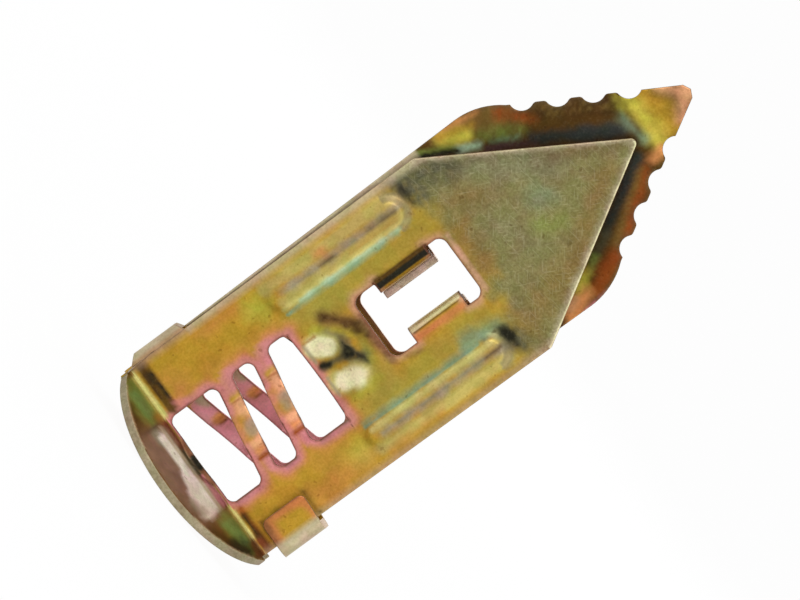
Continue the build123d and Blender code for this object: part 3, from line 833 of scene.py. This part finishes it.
def edge_group():
    """Darkening right at a cut edge, where the plating pulls back."""
    group, source, sink = new_group(
        "edge_line",
        [("Color", "NodeSocketColor"), ("Distance", "NodeSocketFloat"),
         ("Width", "NodeSocketFloat"), ("Strength", "NodeSocketFloat"),
         ("Line", "NodeSocketColor")],
        [("Color", "NodeSocketColor")])
    share = math_node(group, "DIVIDE", source.outputs["Distance"], source.outputs["Width"])
    near = ramp_node(group, share, 0.4, 1.0, 1.0, 0.0)
    near = math_node(group, "MULTIPLY", near, source.outputs["Strength"])
    tone = tint_node(group, "MIX", near, source.outputs["Color"], source.outputs["Line"])
    group.links.new(tone, sink.inputs["Color"])
    return group


# ---------------------------------------------------------------- materials

def attribute_node(tree, name, output):
    node = tree.nodes.new("ShaderNodeAttribute")
    node.attribute_name = name
    return node.outputs[output]


def place_group(tree, group, links, values=()):
    """A group in a material, with its sockets linked or set."""
    node = tree.nodes.new("ShaderNodeGroup")
    node.node_tree = group
    for label, socket in links:
        tree.links.new(socket, node.inputs[label])
    for label, value in values:
        node.inputs[label].default_value = value
    return node


def new_material(name, metallic):
    material = bpy.data.materials.new(name)
    material.use_nodes = True
    shader = material.node_tree.nodes["Principled BSDF"]
    shader.inputs["Metallic"].default_value = metallic
    coordinates = material.node_tree.nodes.new("ShaderNodeTexCoord")
    return material, shader, coordinates.outputs["Object"]


def finish_surface(tree, shader, grain, roughness, bump):
    """Link a grain group's roughness and height to a material's shader."""
    rough = math_node(tree, "ADD", grain.outputs["Roughness"], roughness)
    tree.links.new(rough, shader.inputs["Roughness"])
    bump_node = tree.nodes.new("ShaderNodeBump")
    bump_node.inputs["Strength"].default_value = 1.0
    bump_node.inputs["Distance"].default_value = bump
    tree.links.new(grain.outputs["Height"], bump_node.inputs["Height"])
    tree.links.new(bump_node.outputs["Normal"], shader.inputs["Normal"])


def plated_face(sheet, grain_tree, edge_tree_group):
    """Yellow passivated zinc: painted rainbow tints under fine grain."""
    material, shader, coordinates = new_material("plated_face", sheet.metallic)
    tree = material.node_tree
    scuff = attribute_node(tree, "scuff", "Fac")
    grain = place_group(tree, grain_tree, [
        ("Color", attribute_node(tree, "plating", "Vector")), ("Vector", coordinates),
        ("Grain", math_node(tree, "ADD", math_node(tree, "MULTIPLY", scuff, 0.2), 0.3)),
        ("Scratches", scuff)])
    line = place_group(tree, edge_tree_group, [
        ("Color", grain.outputs["Color"]),
        ("Distance", attribute_node(tree, "opening_distance", "Fac"))],
        [("Width", 0.16), ("Strength", 0.55), ("Line", (*linear("7a4a3a"), 1))])
    tree.links.new(line.outputs["Color"], shader.inputs["Base Color"])
    finish_surface(tree, shader, grain, sheet.roughness, 0.004 * MM)
    return material


def sheared_edge(sheet, grain_tree):
    """The cut edge of the sheet: torn steel, thinly plated."""
    material, shader, coordinates = new_material("sheared_edge", sheet.metallic)
    tree = material.node_tree
    grain = place_group(tree, grain_tree, [
        ("Color", attribute_node(tree, "sheared", "Vector")), ("Vector", coordinates)],
        [("Grain", 0.5), ("Scratches", 0.0)])
    tree.links.new(grain.outputs["Color"], shader.inputs["Base Color"])
    finish_surface(tree, shader, grain, sheet.roughness + 0.1, 0.008 * MM)
    return material


# ---------------------------------------------------------------- operators

def finish_piece(bm, name, materials):
    """Turn a bmesh into a piece at the origin."""
    mesh = bpy.data.meshes.new(name)
    bm.to_mesh(mesh)
    bm.free()
    for material in materials:
        mesh.materials.append(material)
    piece = bpy.data.objects.new(name, mesh)
    bpy.context.scene.collection.objects.link(piece)
    return piece


class OBJECT_OT_anchor_sheet(bpy.types.Operator):
    """Dress the folded sheet"""
    bl_idname = "object.anchor_sheet"
    bl_label = "Folded sheet"

    def execute(self, context):
        sheet, _ = settings()
        bm = merged_copy(SHEET_NODE)
        mark_sheared_faces(bm)
        corners = sheared_edges(bm)
        openings = edge_tree([e for e in corners if is_opening(e)])
        outline = edge_tree([e for e in corners if not is_opening(e)])
        round_corners(bm, corners, sheet.corner_round)
        lay_grid(bm, sheet.grid_step)
        soften_bends(bm, sheet.softening)
        bm.normal_update()
        canvas = Canvas(bm, openings, outline)
        paint_sheet(canvas)
        grain, line = grain_group(), edge_group()
        piece = finish_piece(
            bm, "folded_sheet", [plated_face(sheet, grain, line), sheared_edge(sheet, grain)])
        store(piece.data, "plating", "FLOAT_VECTOR", "vector", canvas.colour)
        store(piece.data, "sheared", "FLOAT_VECTOR", "vector", canvas.sheared)
        store(piece.data, "scuff", "FLOAT", "value", canvas.scuff)
        store(piece.data, "opening_distance", "FLOAT", "value", canvas.opening)
        piece.data.shade_smooth()
        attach(piece, "root")
        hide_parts(SHEET_NODE)
        print("triangles", len(piece.data.polygons))
        return {"FINISHED"}


def white_to_view(tree, lit, strength):
    """Plain white for camera, glossy and transmission rays, and the lit shader for the rest."""
    rays = tree.nodes.new("ShaderNodeLightPath")
    seen = math_node(tree, "MAXIMUM", rays.outputs["Is Camera Ray"], rays.outputs["Is Glossy Ray"])
    seen = math_node(tree, "MAXIMUM", seen, rays.outputs["Is Transmission Ray"])
    mix = tree.nodes.new("ShaderNodeMixShader")
    tree.links.new(math_node(tree, "MULTIPLY", seen, strength), mix.inputs["Fac"])
    tree.links.new(lit, mix.inputs[1])
    return mix


def studio_world(stage):
    """An even sky that looks white and lights the object a little less than fully."""
    world = bpy.data.worlds.new("studio")
    world.use_nodes = True
    tree = world.node_tree
    sky = tree.nodes["Background"]
    sky.inputs["Color"].default_value = (1, 1, 1, 1)
    sky.inputs["Strength"].default_value = stage.sky
    white = tree.nodes.new("ShaderNodeBackground")
    white.inputs["Color"].default_value = (1, 1, 1, 1)
    white.inputs["Strength"].default_value = 1.0
    mix = white_to_view(tree, sky.outputs["Background"], 1.0)
    tree.links.new(white.outputs["Background"], mix.inputs[2])
    tree.links.new(mix.outputs["Shader"], tree.nodes["World Output"].inputs["Surface"])
    return world


def studio_floor(stage):
    """A pale floor that keeps a faint shadow of the object."""
    bm = bmesh.new()
    bmesh.ops.create_grid(bm, x_segments=1, y_segments=1, size=stage.floor_size / 2)
    material = bpy.data.materials.new("floor")
    material.use_nodes = True
    tree = material.node_tree
    shader = tree.nodes["Principled BSDF"]
    shader.inputs["Base Color"].default_value = (*stage.floor_colour, 1)
    shader.inputs["Roughness"].default_value = 0.9
    shader.inputs["Specular IOR Level"].default_value = 0.0
    white = tree.nodes.new("ShaderNodeEmission")
    white.inputs["Strength"].default_value = 1.0
    mix = white_to_view(tree, shader.outputs["BSDF"], stage.floor_glow)
    tree.links.new(white.outputs["Emission"], mix.inputs[2])
    tree.links.new(mix.outputs["Shader"], tree.nodes["Material Output"].inputs["Surface"])
    floor = finish_piece(bm, "floor", [material])
    return floor


def area_lamp(name, place, target, size, power):
    """A square soft lamp that points at the target."""
    lamp = bpy.data.objects.new(name, bpy.data.lights.new(name, "AREA"))
    lamp.data.shape = "SQUARE"
    lamp.data.size = size
    lamp.data.energy = power
    lamp.location = place
    lamp.rotation_euler = (Vector(target) - Vector(place)).to_track_quat("-Z", "Y").to_euler()
    bpy.context.scene.collection.objects.link(lamp)
    return lamp


def photo_camera(stage, target):
    """A distant camera that looks square at the short leg, rolled so that the point lies right."""
    sin_a, cos_a = math.sin(stage.azimuth), math.cos(stage.azimuth)
    sin_e, cos_e = math.sin(stage.elevation), math.cos(stage.elevation)
    back = Vector((sin_a * cos_e, -cos_a * cos_e, sin_e))
    across = Vector((cos_a, sin_a, 0))
    upward = back.cross(across)
    right = across * math.cos(stage.roll) + upward * math.sin(stage.roll)
    up = upward * math.cos(stage.roll) - across * math.sin(stage.roll)
    camera = bpy.data.objects.new("camera", bpy.data.cameras.new("camera"))
    camera.data.lens = stage.lens
    camera.data.clip_start = 0.001
    distance = stage.view_width * stage.lens / camera.data.sensor_width
    turn = Matrix((right, up, back)).transposed().to_4x4()
    camera.matrix_world = Matrix.Translation(target + back * distance) @ turn
    bpy.context.scene.collection.objects.link(camera)
    return camera


class SCENE_OT_anchor_stage(bpy.types.Operator):
    """Set up the floor, the lights, the world and the camera"""
    bl_idname = "scene.anchor_stage"
    bl_label = "Stage"

    def execute(self, context):
        _, stage = settings()
        target = Vector((stage.view_side, CAD_BOX[0].y * 0.3, stage.view_height))
        context.scene.camera = photo_camera(stage, target)
        context.scene.world = studio_world(stage)
        studio_floor(stage)
        area_lamp("key", (-0.25, -0.35, 0.3), target, 0.25, stage.key_light)
        area_lamp("fill", (0.35, -0.3, 0.12), target, 0.3, stage.key_light * 0.5)
        area_lamp("behind", (0.1, 0.4, 0.25), target, 0.3, stage.key_light * 0.6)
        context.scene.view_settings.view_transform = "Standard"
        return {"FINISHED"}


class VIEW3D_PT_drywall_anchor(bpy.types.Panel):
    """Buttons for the anchor's pieces and its stage"""
    bl_idname = "VIEW3D_PT_drywall_anchor"
    bl_label = "Drywall anchor"
    bl_space_type = "VIEW_3D"
    bl_region_type = "UI"
    bl_category = "Anchor"

    def draw(self, context):
        for name in OPERATORS:
            self.layout.operator(name)


OPERATORS = ("object.anchor_sheet", "scene.anchor_stage")
CLASSES = (AnchorSheetSettings, AnchorStageSettings, OBJECT_OT_anchor_sheet,
           SCENE_OT_anchor_stage, VIEW3D_PT_drywall_anchor)


def register():
    for cls in CLASSES:
        bpy.utils.register_class(cls)
    bpy.types.Scene.drywall_anchor_sheet = PointerProperty(type=AnchorSheetSettings)
    bpy.types.Scene.drywall_anchor_stage = PointerProperty(type=AnchorStageSettings)


def unregister():
    del bpy.types.Scene.drywall_anchor_stage
    del bpy.types.Scene.drywall_anchor_sheet
    for cls in reversed(CLASSES):
        bpy.utils.unregister_class(cls)


def main():
    register()
    bpy.ops.object.anchor_sheet()
    bpy.ops.scene.anchor_stage()


if __name__ == "__main__":
    main()
